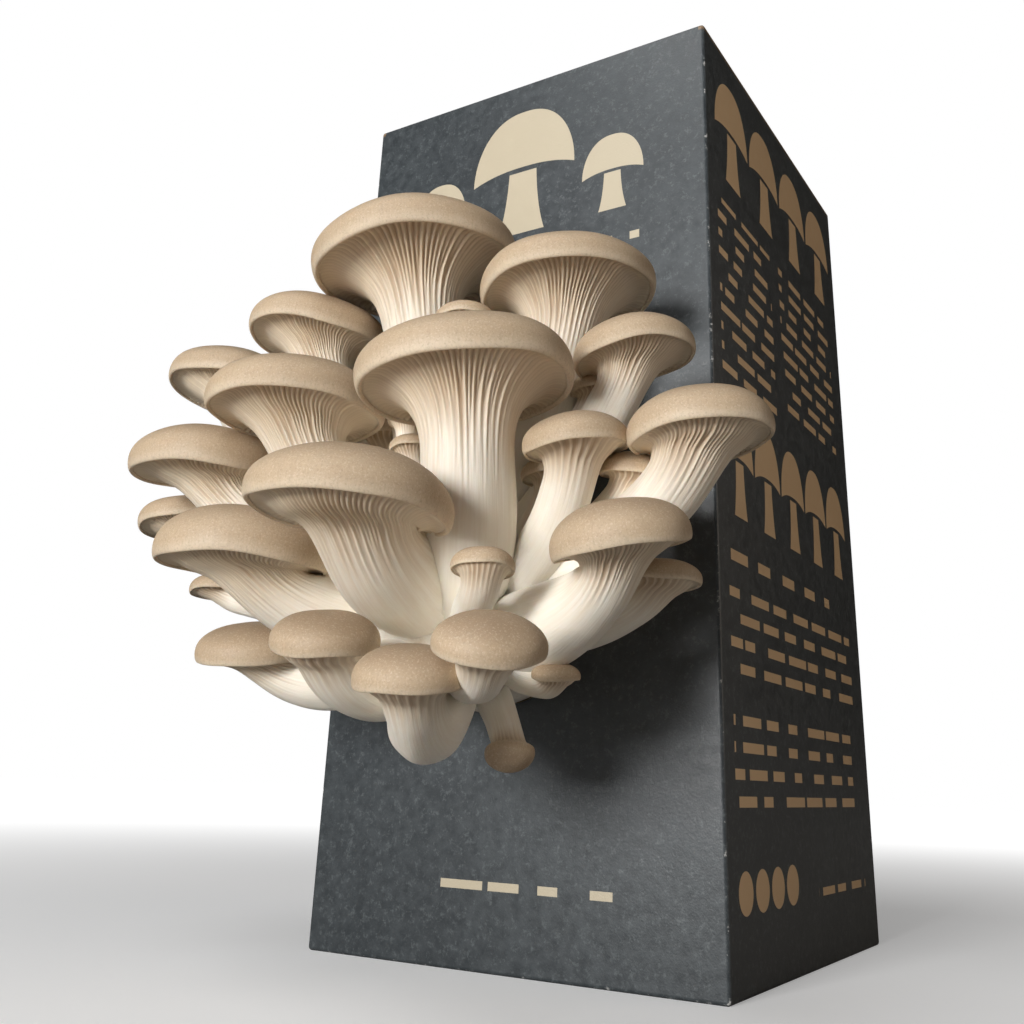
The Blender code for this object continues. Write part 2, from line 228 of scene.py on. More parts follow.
def dress(piece: bpy.types.Object, material: bpy.types.Material) -> None:
    """Gives a new piece its material and the body that it rides on.

    Args:
        piece: The finished piece.
        material: Its material.
    """
    piece.data.materials.clear()
    piece.data.materials.append(material)
    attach(piece, "root")
    log.info("%s: %d faces", piece.name, len(piece.data.polygons))


# Materials


class Shader:
    """Builds the node tree of one material."""

    def __init__(self, name: str, roughness: float) -> None:
        """Starts a material with one Principled shader.

        Args:
            name: Name of the material.
            roughness: Its roughness, where nothing is linked to it.
        """
        self.material = bpy.data.materials.new(name)
        self.material.use_nodes = True
        self.tree = self.material.node_tree
        self.surface = self.tree.nodes["Principled BSDF"]
        self.surface.inputs["Roughness"].default_value = roughness

    def node(self, kind: str, **settings: object) -> bpy.types.Node:
        """Adds a node.

        Args:
            kind: Its type, without the leading ShaderNode.
            **settings: Properties to set on it.

        Returns:
            The node.
        """
        made = self.tree.nodes.new("ShaderNode" + kind)
        for key, value in settings.items():
            setattr(made, key, value)
        return made

    def feed(self, socket: Socket, value: Value) -> None:
        """Links a socket to another, or sets it.

        Args:
            socket: The input socket.
            value: An output socket, a number, or a colour.
        """
        if isinstance(value, Socket):
            self.tree.links.new(value, socket)
        elif isinstance(value, tuple) and len(value) == 3 and socket.type == "RGBA":
            socket.default_value = (*value, 1.0)
        else:
            socket.default_value = value

    def attribute(self, name: str, vector: bool = False) -> Socket:
        """The value of a mesh attribute."""
        made = self.node("Attribute", attribute_name=name)
        return made.outputs["Vector" if vector else "Fac"]

    def place(self) -> Socket:
        """Object coordinates."""
        return self.node("TexCoord").outputs["Object"]

    def stretch(self, vector: Socket, scale: Colour) -> Socket:
        """Scales a vector along each axis.

        Args:
            vector: The vector.
            scale: The factor for each axis.

        Returns:
            The scaled vector.
        """
        made = self.node("VectorMath", operation="MULTIPLY")
        self.feed(made.inputs[0], vector)
        made.inputs[1].default_value = scale
        return made.outputs[0]

    def noise(
        self, vector: Socket, scale: float, detail: float = 3, rough: float = 0.5
    ) -> Socket:
        """Soft noise.

        Args:
            vector: Where it is read.
            scale: Its cells per unit.
            detail: Its layers.
            rough: The strength of its finer layers.

        Returns:
            A number from 0 to 1.
        """
        made = self.node("TexNoise")
        self.feed(made.inputs["Vector"], vector)
        made.inputs["Scale"].default_value = scale
        made.inputs["Detail"].default_value = detail
        made.inputs["Roughness"].default_value = rough
        return made.outputs["Fac"]

    def maths(self, operation: str, *values: Value) -> Socket:
        """One sum on numbers.

        Args:
            operation: Name of the Math node's operation.
            *values: Its inputs.

        Returns:
            The result.
        """
        made = self.node("Math", operation=operation)
        for socket, value in zip(made.inputs, values):
            self.feed(socket, value)
        return made.outputs[0]

    def spread(
        self, value: Socket, low: float, high: float, start: float = 0, end: float = 1
    ) -> Socket:
        """Maps low to start and high to end, smoothly, and stays between them.

        Args:
            value: The number to map.
            low: Where the result is start.
            high: Where the result is end.
            start: The result at low.
            end: The result at high.

        Returns:
            The mapped number.
        """
        made = self.node("MapRange", interpolation_type="SMOOTHSTEP")
        self.feed(made.inputs["Value"], value)
        made.inputs["From Min"].default_value = low
        made.inputs["From Max"].default_value = high
        made.inputs["To Min"].default_value = start
        made.inputs["To Max"].default_value = end
        return made.outputs["Result"]

    def mix(
        self, share: Value, first: Value, second: Value, blend: str = "MIX"
    ) -> Socket:
        """Blends two colours.

        Args:
            share: How much of the second.
            first: The first colour.
            second: The second colour.
            blend: Name of the blend type.

        Returns:
            The blended colour.
        """
        made = self.node("Mix", data_type="RGBA", blend_type=blend)
        by_kind = {socket.identifier: socket for socket in made.inputs}
        self.feed(by_kind["Factor_Float"], share)
        self.feed(by_kind["A_Color"], first)
        self.feed(by_kind["B_Color"], second)
        return next(out for out in made.outputs if out.identifier == "Result_Color")

    def relief(self, height: Socket, strength: float, depth: float) -> None:
        """Adds fine relief over what is there already.

        Args:
            height: The pattern.
            strength: How much of it shows.
            depth: Its height in metres.
        """
        made = self.node("Bump")
        made.inputs["Strength"].default_value = strength
        made.inputs["Distance"].default_value = depth
        self.feed(made.inputs["Height"], height)
        normal = self.surface.inputs["Normal"]
        if normal.is_linked:
            self.feed(made.inputs["Normal"], normal.links[0].from_socket)
        self.feed(normal, made.outputs["Normal"])

    def finish(self, colour: Socket, roughness: Optional[Socket] = None) -> bpy.types.Material:
        """Links the colour and the roughness.

        Args:
            colour: The colour.
            roughness: The roughness, or None to keep the first one.

        Returns:
            The material.
        """
        self.feed(self.surface.inputs["Base Color"], colour)
        if roughness is not None:
            self.feed(self.surface.inputs["Roughness"], roughness)
        return self.material


@dataclass(frozen=True)
class CapSkin:
    """Matt tan skin of a cap, with fine fibres that run out to a paler rim."""

    crown: Colour = (0.39, 0.280, 0.180)
    middle: Colour = (0.50, 0.375, 0.248)
    rim: Colour = (0.72, 0.600, 0.445)
    fleck: Colour = (0.31, 0.215, 0.135)
    roughness: float = 0.62
    translucency: float = 0.15

    def material(self) -> bpy.types.Material:
        """Makes the skin's material.

        Returns:
            The material.
        """
        shader = Shader("cap_skin", self.roughness)
        place = shader.place()
        fibre = shader.attribute("fibre", vector=True)
        height = shader.attribute("height")
        blotch = shader.noise(place, 60, 4, 0.55)
        edge = shader.maths("ADD", height, shader.maths("MULTIPLY", blotch, 0.22))
        colour = shader.mix(shader.spread(edge, 0.45, 1.0), self.middle, self.crown)
        colour = shader.mix(shader.spread(edge, 0.34, 0.0), colour, self.rim)
        streak = shader.noise(shader.stretch(fibre, (34, 34, 3)), 1.0, 4, 0.6)
        colour = shader.mix(shader.spread(streak, 0.60, 0.30, 0, 0.16), colour, self.fleck)
        grain = shader.noise(place, 2100, 3, 0.65)
        colour = shader.mix(shader.spread(grain, 0.50, 0.68, 0, 0.34), colour, self.fleck)
        light = shader.noise(place, 2600, 2, 0.6)
        colour = shader.mix(shader.spread(light, 0.52, 0.70, 0, 0.36), colour, self.rim)
        self.soften(shader)
        shader.relief(streak, 0.15, 0.3 * MM)
        shader.relief(grain, 0.30, 0.12 * MM)
        return shader.finish(colour, shader.spread(blotch, 0.3, 0.7, 0.55, 0.70))

    def soften(self, shader: Shader) -> None:
        """Lets a little light into the skin.

        Args:
            shader: The material that it is part of.
        """
        shader.surface.inputs["Subsurface Weight"].default_value = self.translucency
        shader.surface.inputs["Subsurface Radius"].default_value = (1.0, 0.55, 0.30)
        shader.surface.inputs["Subsurface Scale"].default_value = 1.5 * MM


@dataclass(frozen=True)
class StemFlesh:
    """Cream flesh of a stem, with painted shade in the valleys between the gills, and whiter towards the
    foot.
    """

    crest: Colour = (0.79, 0.66, 0.490)
    # Painted shade colour for the valleys between the gills.
    painted_gill_shade: Colour = (0.32, 0.190, 0.100)
    stalk: Colour = (0.90, 0.84, 0.730)
    foot: Colour = (0.92, 0.88, 0.80)
    shade: Colour = (0.74, 0.62, 0.47)
    roughness: float = 0.55
    translucency: float = 0.18

    def material(self) -> bpy.types.Material:
        """Makes the flesh's material.

        Returns:
            The material.
        """
        shader = Shader("stem_flesh", self.roughness)
        place = shader.place()
        grain = shader.attribute("grain", vector=True)
        along = shader.attribute("along")
        painted_gill_shade = shader.attribute("painted_gill_shade")
        long_streak = shader.noise(shader.stretch(grain, (9, 9, 0.05)), 1.0, 4, 0.6)
        fine_streak = shader.noise(shader.stretch(grain, (26, 26, 0.12)), 1.0, 3, 0.6)
        uneven = shader.maths("ADD", along, shader.maths("MULTIPLY", long_streak, 0.7))
        colour = shader.mix(shader.spread(uneven, 0.45, 1.25), self.crest, self.stalk)
        colour = shader.mix(shader.spread(along, 1.3, 2.8), colour, self.foot)
        calm = shader.spread(along, 0.7, 2.0, 1.0, 0.35)
        streak = shader.spread(long_streak, 0.62, 0.36, 0, 0.30)
        colour = shader.mix(shader.maths("MULTIPLY", streak, calm), colour, self.shade)
        thread = shader.spread(fine_streak, 0.60, 0.32, 0, 0.22)
        colour = shader.mix(shader.maths("MULTIPLY", thread, calm), colour, self.shade)
        # Painted shade: the gill valleys are darkened, most where the gills stand deepest.
        deep = shader.maths("MULTIPLY", painted_gill_shade, shader.spread(long_streak, 0.2, 0.75, 0.95, 0.6))
        colour = shader.mix(deep, colour, self.painted_gill_shade)
        shader.surface.inputs["Subsurface Weight"].default_value = self.translucency
        shader.surface.inputs["Subsurface Radius"].default_value = (1.0, 0.62, 0.38)
        shader.surface.inputs["Subsurface Scale"].default_value = 2.0 * MM
        shader.relief(fine_streak, 0.30, 0.35 * MM)
        shader.relief(shader.noise(place, 1500, 3, 0.6), 0.25, 0.1 * MM)
        return shader.finish(colour)


@dataclass(frozen=True)
class Mycelium:
    """White threads over the fused foot and over the block."""

    name: str
    thread: Colour
    ground: Colour
    cover: float

    def material(self) -> bpy.types.Material:
        """Makes the material of the threads and of what shows between them.

        Returns:
            The material.
        """
        shader = Shader(self.name, 0.85)
        place = shader.place()
        cloud = shader.noise(place, 90, 5, 0.6)
        crumb = shader.noise(place, 420, 4, 0.65)
        worn = shader.maths("ADD", cloud, shader.maths("MULTIPLY", crumb, 0.5))
        share = shader.spread(worn, self.cover - 0.12, self.cover + 0.12)
        colour = shader.mix(share, self.thread, self.ground)
        fuzz = shader.noise(place, 2200, 3, 0.7)
        colour = shader.mix(shader.spread(fuzz, 0.5, 0.8, 0, 0.3), colour, self.ground)
        shader.relief(crumb, 0.6, 0.8 * MM)
        shader.relief(fuzz, 0.4, 0.15 * MM)
        return shader.finish(colour)


@dataclass(frozen=True)
class ClearFilm:
    """Film of the bag, misted from within."""

    tint: Colour = (0.86, 0.88, 0.87)
    roughness: float = 0.22

    def material(self) -> bpy.types.Material:
        """Makes the film's material.

        Returns:
            The material.
        """
        shader = Shader("bag_film", self.roughness)
        place = shader.place()
        mist = shader.noise(place, 240, 4, 0.6)
        crease = shader.noise(shader.stretch(place, (30, 30, 90)), 1.0, 3, 0.6)
        colour = shader.mix(shader.spread(mist, 0.35, 0.7), self.tint, (0.74, 0.72, 0.66))
        shader.surface.inputs["Transmission Weight"].default_value = 0.35
        shader.relief(crease, 0.5, 1.2 * MM)
        return shader.finish(colour, shader.spread(mist, 0.3, 0.7, 0.18, 0.45))


@dataclass(frozen=True)
class PrintedBoard:
    """Dark printed board with tan print, pale where its edges are rubbed."""

    width: float
    depth: float
    height: float
    ink: Colour = (0.034, 0.040, 0.044)
    faded: Colour = (0.054, 0.063, 0.068)
    fibre: Colour = (0.130, 0.146, 0.150)
    tan: Colour = (0.54, 0.465, 0.335)
    copper: Colour = (0.80, 0.55, 0.31)
    kraft: Colour = (0.30, 0.19, 0.10)
    scuff: Colour = (0.70, 0.69, 0.66)
    roughness: float = 0.5

    def material(self) -> bpy.types.Material:
        """Makes the board's material.

        Returns:
            The material.
        """
        shader = Shader("printed_board", self.roughness)
        place = shader.place()
        apart = shader.node("SeparateXYZ")
        shader.feed(apart.inputs[0], place)
        across, back, up = apart.outputs
        cloud = shader.noise(place, 36, 4, 0.6)
        mottle = shader.noise(place, 320, 5, 0.7)
        tooth = shader.noise(place, 1900, 3, 0.6)
        worn = shader.maths("ADD", mottle, shader.maths("MULTIPLY", cloud, 0.5))
        colour = shader.mix(shader.spread(worn, 0.55, 1.0), self.ink, self.faded)
        fleck = shader.noise(place, 620, 5, 0.8)
        colour = shader.mix(shader.spread(fleck, 0.52, 0.66, 0, 0.50), colour, self.fibre)
        colour = shader.mix(shader.spread(tooth, 0.60, 0.80, 0, 0.35), colour, self.fibre)
        side = shader.maths("GREATER_THAN", shader.maths("ABSOLUTE", across), self.width / 2 - RIM)
        top_edge = shader.spread(up, self.height - 2.2 * MM, self.height - 1.2 * MM, 0, 0.75)
        colour = shader.mix(shader.maths("MULTIPLY", side, top_edge), colour, self.kraft)
        flaw = shader.spread(tooth, 0.80, 0.70, 0.4, 1.0)
        printed = shader.maths("MULTIPLY", self.print_mask(shader, across, back, up), flaw)
        colour = shader.mix(printed, colour, shader.mix(side, self.tan, self.copper))
        colour = shader.mix(self.rubbed(shader, across, back, up), colour, self.scuff)
        shader.relief(mottle, 0.22, 0.30 * MM)
        shader.relief(tooth, 0.35, 0.10 * MM)
        shader.surface.inputs["Specular IOR Level"].default_value = 0.65
        return shader.finish(colour, shader.spread(mottle, 0.3, 0.7, 0.38, 0.50))

    def inside(self, shader: Shader, value: Socket, low: float, high: float) -> Socket:
        """1 where a value is between two limits, else 0."""
        off = shader.maths("ABSOLUTE", shader.maths("SUBTRACT", value, (low + high) / 2))
        return shader.maths("LESS_THAN", off, (high - low) / 2)

    def rubbed(self, shader: Shader, across: Socket, back: Socket, up: Socket) -> Socket:
        """Share of bare fibre on the folds, in small nicks, and more of it at the corners.

        Args:
            shader: The material that it is part of.
            across: Coordinate along X.
            back: Coordinate along Y.
            up: Coordinate along Z.

        Returns:
            The share, from 0 to 1.
        """
        nearness = []
        for value, half in ((across, self.width / 2), (back, self.depth / 2)):
            nearness.append(shader.spread(shader.maths("ABSOLUTE", value), half - 1.2 * MM, half))
        level = shader.maths("ABSOLUTE", shader.maths("SUBTRACT", up, self.height / 2))
        nearness.append(shader.spread(level, self.height / 2 - 1.2 * MM, self.height / 2))
        total = shader.maths("ADD", shader.maths("ADD", *nearness[:2]), nearness[2])
        uneven = shader.noise(shader.place(), 420, 4, 0.7)
        amount = shader.maths("MULTIPLY", total, shader.maths("MULTIPLY", uneven, uneven))
        return shader.spread(amount, 0.52, 0.80, 0, 0.85)

    def area(self, shader: Shader, along: Socket, up: Socket, box: Box) -> Socket:
        """Marks one block of the print.

        Args:
            shader: The material that it is part of.
            along: Coordinate along the block.
            up: Coordinate across the block.
            box: Start and end along the block, then bottom and top, in metres.

        Returns:
            1 inside the block, else 0.
        """
        left, right, bottom, top = box
        across = self.inside(shader, along, left, right)
        return shader.maths("MULTIPLY", across, self.inside(shader, up, bottom, top))

    def chance(self, shader: Shader, *values: Value) -> Socket:
        """Draws a number that depends only on the values.

        Args:
            shader: The material that it is part of.
            *values: Up to three numbers.

        Returns:
            A number from 0 to 1.
        """
        joined = shader.node("CombineXYZ")
        for socket, value in zip(joined.inputs, values):
            shader.feed(socket, value)
        made = shader.node("TexWhiteNoise", noise_dimensions="3D")
        shader.feed(made.inputs["Vector"], joined.outputs[0])
        return made.outputs["Value"]

    def lines(
        self, shader: Shader, along: Socket, up: Socket, box: Box, pitch: float, seed: float
    ) -> Socket:
        """Rows of plain bars of uneven length, as small print looks from a step away.

        Args:
            shader: The material that they are part of.
            along: Coordinate along the rows.
            up: Coordinate across the rows.
            box: Start and end along the rows, then bottom and top, in metres.
            pitch: Distance between two rows, in metres.
            seed: Makes one block's bars differ from another's.

        Returns:
            1 on a bar, else 0.
        """
        row = shader.maths("DIVIDE", shader.maths("SUBTRACT", up, box[2]), pitch)
        on_row = shader.maths("LESS_THAN", shader.maths("FRACT", row), 0.40)
        index = shader.maths("FLOOR", row)
        shift = self.chance(shader, index, seed, 0.5)
        place = shader.maths("ADD", shader.maths("DIVIDE", along, 2.8 * pitch), shift)
        length = self.chance(shader, shader.maths("FLOOR", place), index, seed)
        length = shader.maths("ADD", 0.35, shader.maths("MULTIPLY", length, 0.56))
        bar = shader.maths("LESS_THAN", shader.maths("FRACT", place), length)
        drawn = shader.maths("MULTIPLY", on_row, bar)
        return shader.maths("MULTIPLY", self.area(shader, along, up, box), drawn)

    def mushrooms(
        self, shader: Shader, along: Socket, up: Socket, box: Box, count: int
    ) -> Socket:
        """A row of plain mushroom shapes.

        Args:
            shader: The material that they are part of.
            along: Coordinate along the row.
            up: Coordinate across the row.
            box: Start and end along the row, then bottom and top, in metres.
            count: Shapes in the row.

        Returns:
            1 on a shape, else 0.
        """
        left, right, bottom, top = box
        cell = (right - left) / count
        place = shader.maths("DIVIDE", shader.maths("SUBTRACT", along, left), cell)
        u = shader.maths("SUBTRACT", shader.maths("FRACT", place), 0.5)
        v = shader.maths("DIVIDE", shader.maths("SUBTRACT", up, bottom), top - bottom)
        wide = shader.maths("POWER", shader.maths("ABSOLUTE", shader.maths("DIVIDE", u, 0.47)), 2.4)
        brim = shader.maths("SUBTRACT", 0.53, shader.maths("MULTIPLY", wide, 0.07))
        rise = shader.maths("SUBTRACT", v, brim)
        tall = shader.maths("POWER", shader.maths("ABSOLUTE", shader.maths("DIVIDE", rise, 0.46)), 2.2)
        dome = shader.maths("LESS_THAN", shader.maths("ADD", wide, tall), 1.0)
        dome = shader.maths("MULTIPLY", dome, shader.maths("GREATER_THAN", rise, 0.0))
        foot = shader.maths("POWER", shader.maths("SUBTRACT", 1.0, v), 4.0)
        half = shader.maths("ADD", 0.12, shader.maths("MULTIPLY", 0.09, foot))
        stalk = shader.maths("LESS_THAN", shader.maths("ABSOLUTE", u), half)
        stalk = shader.maths("MULTIPLY", stalk, self.inside(shader, v, 0.0, 0.49))
        shape = shader.maths("MAXIMUM", dome, stalk)
        return shader.maths("MULTIPLY", self.area(shader, along, up, box), shape)

    def dots(self, shader: Shader, along: Socket, up: Socket, box: Box, count: int) -> Socket:
        """A row of round dots.

        Args:
            shader: The material that they are part of.
            along: Coordinate along the row.
            up: Coordinate across the row.
            box: Start and end along the row, then bottom and top, in metres.
            count: Dots in the row.

        Returns:
            1 on a dot, else 0.
        """
        left, right, bottom, top = box
        cell = (right - left) / count
        place = shader.maths("DIVIDE", shader.maths("SUBTRACT", along, left), cell)
        u = shader.maths("MULTIPLY", shader.maths("SUBTRACT", shader.maths("FRACT", place), 0.5), cell)
        v = shader.maths("SUBTRACT", up, (bottom + top) / 2)
        reach = shader.maths("ADD", shader.maths("POWER", u, 2.0), shader.maths("POWER", v, 2.0))
        dot = shader.maths("LESS_THAN", reach, (0.42 * min(cell, top - bottom)) ** 2)
        return shader.maths("MULTIPLY", self.area(shader, along, up, box), dot)

    def print_mask(self, shader: Shader, across: Socket, back: Socket, up: Socket) -> Socket:
        """Where the tan print is, on the front and on the two sides.

        Args:
            shader: The material that it is part of.
            across: Coordinate along X.
            back: Coordinate along Y.
            up: Coordinate along Z.

        Returns:
            1 on the print, else 0.
        """
        front = shader.maths("LESS_THAN", back, -self.depth / 2 + RIM)
        side = shader.maths("GREATER_THAN", shader.maths("ABSOLUTE", across), self.width / 2 - RIM)
        on_front = (
            self.mushrooms(shader, across, up, millimetres(-20, 18, 197, 240), 1),
            self.mushrooms(shader, across, up, millimetres(-42, -21, 197, 222), 1),
            self.mushrooms(shader, across, up, millimetres(19, 40, 197, 222), 1),
            self.lines(shader, across, up, millimetres(-36, 38, 186, 189), 6 * MM, 3.0),
            self.lines(shader, across, up, millimetres(-24, 38, 18, 20.5), 5 * MM, 9.0),
        )
        on_side = (
            self.mushrooms(shader, back, up, millimetres(-56, 56, 206, 240), 4),
            self.lines(shader, back, up, millimetres(-55, -12, 146, 198), 5.6 * MM, 21.0),
            self.lines(shader, back, up, millimetres(-4, 50, 151, 198), 5.6 * MM, 33.0),
            self.mushrooms(shader, back, up, millimetres(-56, 54, 108, 138), 5),
            self.lines(shader, back, up, millimetres(-55, 30, 96, 101), 7.0 * MM, 60.0),
            self.lines(shader, back, up, millimetres(-55, 50, 69, 91), 6.0 * MM, 71.0),
            self.lines(shader, back, up, millimetres(-55, 44, 39, 61), 6.0 * MM, 84.0),
            self.dots(shader, back, up, millimetres(-56, -12, 15, 27), 4),
            self.lines(shader, back, up, millimetres(4, 50, 17, 19.5), 5 * MM, 97.0),
        )
        drawn = shader.maths("MULTIPLY", front, self.any_of(shader, on_front))
        return shader.maths("MAXIMUM", drawn, shader.maths("MULTIPLY", side, self.any_of(shader, on_side)))

    def any_of(self, shader: Shader, masks: tuple[Socket, ...]) -> Socket:
        """Joins masks.

        Args:
            shader: The material that they are part of.
            masks: The masks.

        Returns:
            1 where any of them is 1, else 0.
        """
        total = masks[0]
        for mask in masks[1:]:
            total = shader.maths("MAXIMUM", total, mask)
        return total


# Mushrooms


@dataclass(frozen=True)
class Fineness:
    """How finely a mushroom is meshed."""

    gills: int
    points_per_gill: int
    cap_sides: int
    dome_rings: int
    ring_step: float


class Size(Enum):
    """Mushrooms by the radius of their caps."""

    LARGE = Fineness(gills=44, points_per_gill=8, cap_sides=112, dome_rings=22, ring_step=0.035)
    MEDIUM = Fineness(gills=34, points_per_gill=8, cap_sides=80, dome_rings=16, ring_step=0.045)
    SMALL = Fineness(gills=26, points_per_gill=4, cap_sides=56, dome_rings=12, ring_step=0.08)


@dataclass(frozen=True)
class Mushroom:
    """One mushroom of the cluster; lengths in millimetres, angles in degrees.

    x, y and z are the centre of its rim. dome is the cap's height over the rim, neck and
    belly are the stalk's radius at its thinnest and at its thickest, and drop is how far
    the stem runs before it turns in, all as shares of the cap's radius. lean and heading
    tell how the cap tilts, slant how soon the stem heads for the heart of the cluster,
    and sag how far it hangs as it does.
    """

    name: str
    x: float
    y: float
    z: float
    radius: float
    dome: float
    lean: float
    heading: float
    neck: float
    belly: float
    drop: float
    slant: float
    sag: float

    @property
    def reach(self) -> float:
        """Radius of the cap, in metres."""
        return self.radius * MM

    @property
    def centre(self) -> np.ndarray:
        """Centre of the rim, in metres."""
        return np.array((self.x, self.y, self.z)) * MM

    @property
    def seed(self) -> float:
        """A number that is this mushroom's own."""
        return 1.7 * int(self.name)

    @property
    def fineness(self) -> Fineness:
        """How finely it is meshed.

        Returns:
            The numbers for its size.
        """
        if self.radius > 18:
            return Size.LARGE.value
        if self.radius > 12:
            return Size.MEDIUM.value
        return Size.SMALL.value

    def axis(self) -> np.ndarray:
        """The cap's axis.

        Returns:
            A unit vector along it, towards the cap's top.
        """
        lean, heading = math.radians(self.lean), math.radians(self.heading)
        across = math.sin(lean)
        return np.array((across * math.cos(heading), across * math.sin(heading), math.cos(lean)))

    def across(self) -> tuple[np.ndarray, np.ndarray]:
        """Two directions square to the cap's axis."""
        side = unit(np.cross(self.axis(), (0, 1, 0)))
        return side, np.cross(self.axis(), side)

    def wobble(self, angle: np.ndarray) -> np.ndarray:
        """How far the cap is from round at each angle."""
        wide = 0.02 * np.cos(2 * angle + self.seed)
        return 1 + wide + 0.012 * np.cos(3 * angle + 2 * self.seed)

    def ripple(self, angle: np.ndarray) -> np.ndarray:
        """How far the rim rises or hangs at each angle, as a share of the cap's radius."""
        return 0.016 * np.sin(3 * angle + self.seed) + 0.009 * np.sin(5 * angle + 2.3 * self.seed)


@dataclass(frozen=True)
class Cap:
    """A domed cap with a rolled rim.

    The rim is widest at widest, its lip hangs to lip, and the gills meet it at seat.
    """

    mushroom: Mushroom
    widest: float = 0.12
    lip_radius: float = 0.955
    lip: float = -0.016
    inner_radius: float = 0.925
    seat_radius: float = 0.90
    seat: float = 0.10
    fullness: float = 2.15

    def profile(self) -> Profile:
        """The cap's section.

        Returns:
            Radius and height of each point, from its top to the middle of its seat.
        """
        radius = self.mushroom.reach
        rise = self.mushroom.dome - self.widest
        rings = self.mushroom.fineness.dome_rings
        power = 2 / self.fullness
        points = [(0.0, self.widest + rise)]
        for step in range(1, rings):
            angle = math.pi / 2 * (1 - (step / rings) ** 0.85)
            points.append((math.cos(angle) ** power, self.widest + rise * math.sin(angle) ** power))
        points.append((1.0, self.widest))
        for step in range(1, 7):
            angle = math.pi / 2 * step / 6
            inward = self.lip_radius + (1 - self.lip_radius) * math.cos(angle)
            points.append((inward, self.widest - (self.widest - self.lip) * math.sin(angle)))
        for step in range(1, 5):
            angle = math.pi / 2 * step / 4
            inward = self.lip_radius - (self.lip_radius - self.inner_radius) * math.sin(angle)
            points.append((inward, self.lip + 0.025 * (1 - math.cos(angle))))
        points += [(self.seat_radius, self.seat), (0.5 * self.seat_radius, self.seat), (0.0, self.seat)]
        return [(r * radius, z * radius) for r, z in points]

    def build(self, material: bpy.types.Material) -> bpy.types.Object:
        """Models the cap and dresses it.

        Args:
            material: The skin.

        Returns:
            The cap.
        """
        mushroom = self.mushroom
        piece = lathe(f"skin_cap_{mushroom.name}", self.profile(), mushroom.fineness.cap_sides)
        points = points_of(piece)
        angle = np.arctan2(points[:, 1], points[:, 0])
        out = np.hypot(points[:, 0], points[:, 1])
        share = out / mushroom.reach
        lift = points[:, 2] + self.dents(angle, share) * mushroom.reach
        out = out * mushroom.wobble(angle)
        side, other = mushroom.across()
        flat = np.outer(np.cos(angle), side) + np.outer(np.sin(angle), other)
        placed = mushroom.centre + flat * out[:, None] + np.outer(lift, mushroom.axis())
        move_points(piece, np.clip(placed, *np.array(CAD_BOX)))
        face_outwards(piece)
        fibre = np.stack((np.cos(angle) * share, np.sin(angle) * share, share), axis=1)
        add_attribute(piece, "fibre", fibre + mushroom.seed)
        add_attribute(piece, "height", np.clip(points[:, 2] / (mushroom.dome * mushroom.reach), 0, 1))
        dress(piece, material)
        return piece

    def dents(self, angle: np.ndarray, share: np.ndarray) -> np.ndarray:
        """Slight hollows and waves of the cap.

        Args:
            angle: Angle of each point about the axis.
            share: Distance of each point from the axis, as a share of the cap's radius.

        Returns:
            How far each point rises, as a share of the cap's radius.
        """
        crown = -0.022 * np.exp(-((share / 0.35) ** 2))
        swell = 0.03 * np.cos(2 * angle + 1.4 * self.mushroom.seed) * share * (1 - np.clip(share, 0, 1))
        return self.mushroom.ripple(angle) * share**3 + crown + swell - 0.004


